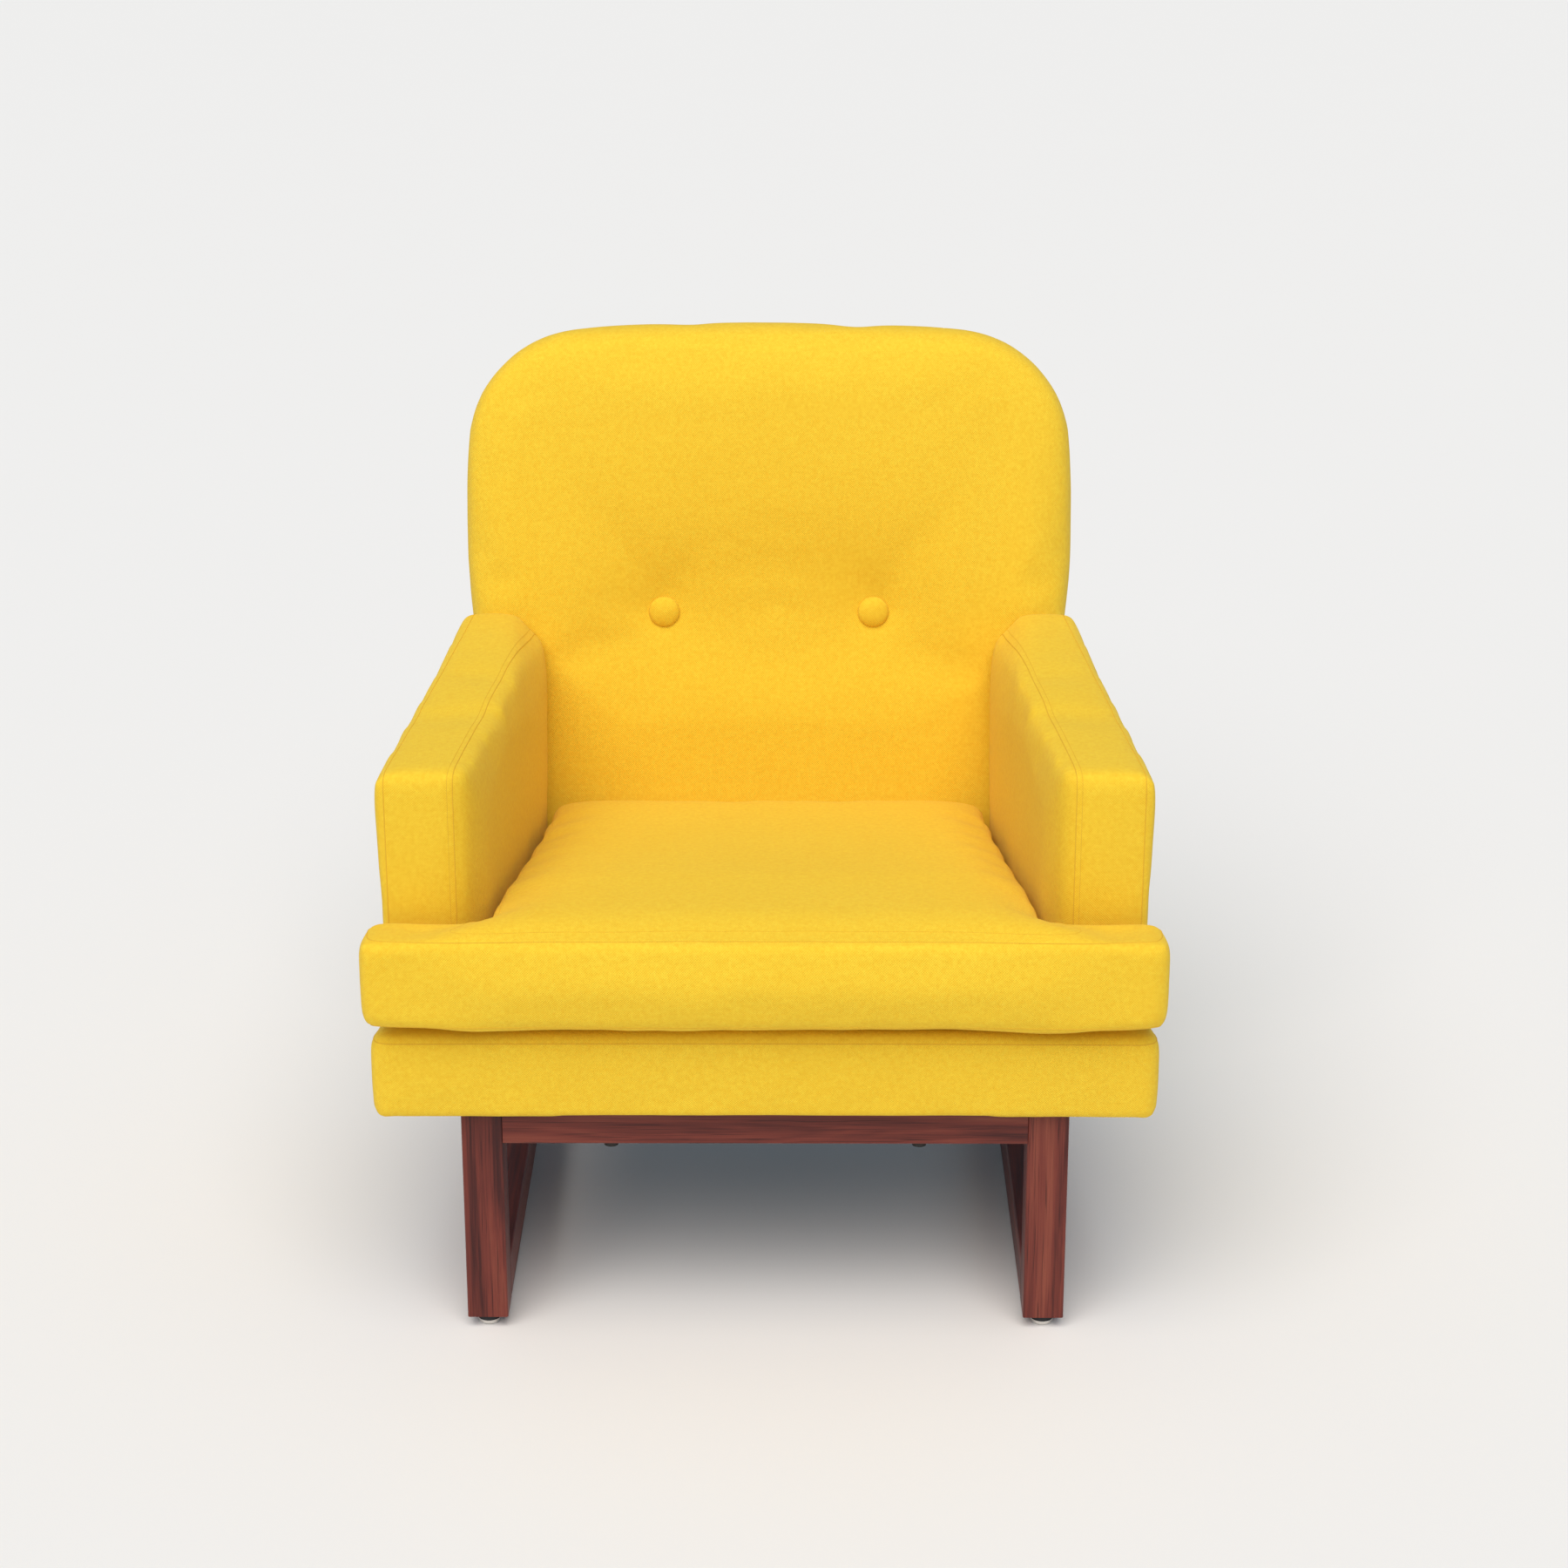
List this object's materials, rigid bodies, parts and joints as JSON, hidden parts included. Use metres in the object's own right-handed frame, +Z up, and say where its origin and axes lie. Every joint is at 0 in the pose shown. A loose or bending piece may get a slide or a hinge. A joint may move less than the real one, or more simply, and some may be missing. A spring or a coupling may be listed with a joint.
{
  "type": "armchair",
  "caption": "Upholstered armchair with a raked button-tufted back, slab arms, a loose T-shaped seat cushion and an open wooden sled base on glides.",
  "frame": {"origin": "on the floor, at the centre of the overall box: half way across the chair, and half way between the front of the seat cushion and the back of the chair", "axes": "+Z up, the sitter faces -Y, +X to the right of someone who looks along +Y at the front of the chair"},
  "size_m": [0.762, 0.7662, 0.8758],
  "materials": {
    "walnut": "oiled, slightly satin",
    "dowel_beech": "bare",
    "nickelled_steel": "polished nickel plate",
    "glide_rubber": "matt",
    "zinc_fasteners": "zinc plated",
    "spring_steel": "oil tempered",
    "frame_hardwood": "sawn and bare",
    "jute": "open weave",
    "dust_cloth": "thin non-woven cloth",
    "foam": "flexible cellular padding",
    "zip_tape": "woven tape with a closed coil",
    "yellow_wool": "plain-woven wool, slightly hairy"
  },
  "bodies": {
    "chair": {"arm_bolts": "zinc_fasteners", "arm_front_post_left": "frame_hardwood", "arm_front_post_right": "frame_hardwood", "arm_pad_left": "yellow_wool", "arm_pad_right": "yellow_wool", "arm_rear_post_left": "frame_hardwood", "arm_rear_post_right": "frame_hardwood", "arm_top_rail_left": "frame_hardwood", "arm_top_rail_right": "frame_hardwood", "back_bolts": "zinc_fasteners", "back_button_rail": "frame_hardwood", "back_low_rail": "frame_hardwood", "back_pad": "yellow_wool", "back_straps": "jute", "back_top_rail": "frame_hardwood", "back_upright_left": "frame_hardwood", "back_upright_right": "frame_hardwood", "base_dowels": "dowel_beech", "base_screws": "zinc_fasteners", "button_left": "yellow_wool", "button_right": "yellow_wool", "button_ties": "jute", "corner_block_left": "frame_hardwood", "corner_block_right": "frame_hardwood", "deck_burlap": "jute", "deck_cover": "yellow_wool", "deck_pad": "foam", "dust_cover": "dust_cloth", "front_post_left": "walnut", "front_post_right": "walnut", "front_stretcher": "walnut", "glide_cap_front_left": "nickelled_steel", "glide_cap_front_right": "nickelled_steel", "glide_cap_rear_left": "nickelled_steel", "glide_cap_rear_right": "nickelled_steel", "glide_cushion_front_left": "glide_rubber", "glide_cushion_front_right": "glide_rubber", "glide_cushion_rear_left": "glide_rubber", "glide_cushion_rear_right": "glide_rubber", "rear_post_left": "walnut", "rear_post_right": "walnut", "rear_stretcher": "walnut", "runner_left": "walnut", "runner_right": "walnut", "seat_front_rail": "frame_hardwood", "seat_rear_rail": "frame_hardwood", "seat_side_rail_left": "frame_hardwood", "seat_side_rail_right": "frame_hardwood", "seat_spring_1": "spring_steel", "seat_spring_2": "spring_steel", "seat_spring_3": "spring_steel", "seat_spring_4": "spring_steel", "seat_spring_5": "spring_steel", "side_rail_left": "walnut", "side_rail_right": "walnut", "spring_clips": "spring_steel"},
    "seat_cushion": {"cushion_core": "foam", "cushion_cover": "yellow_wool", "cushion_zip": "zip_tape"}
  },
  "joints": [
    {"name": "cushion_lift", "type": "slide", "parent": "chair", "child": "seat_cushion", "axis": [0, 0, 1], "range_m": [0, 0.3]}
  ]
}
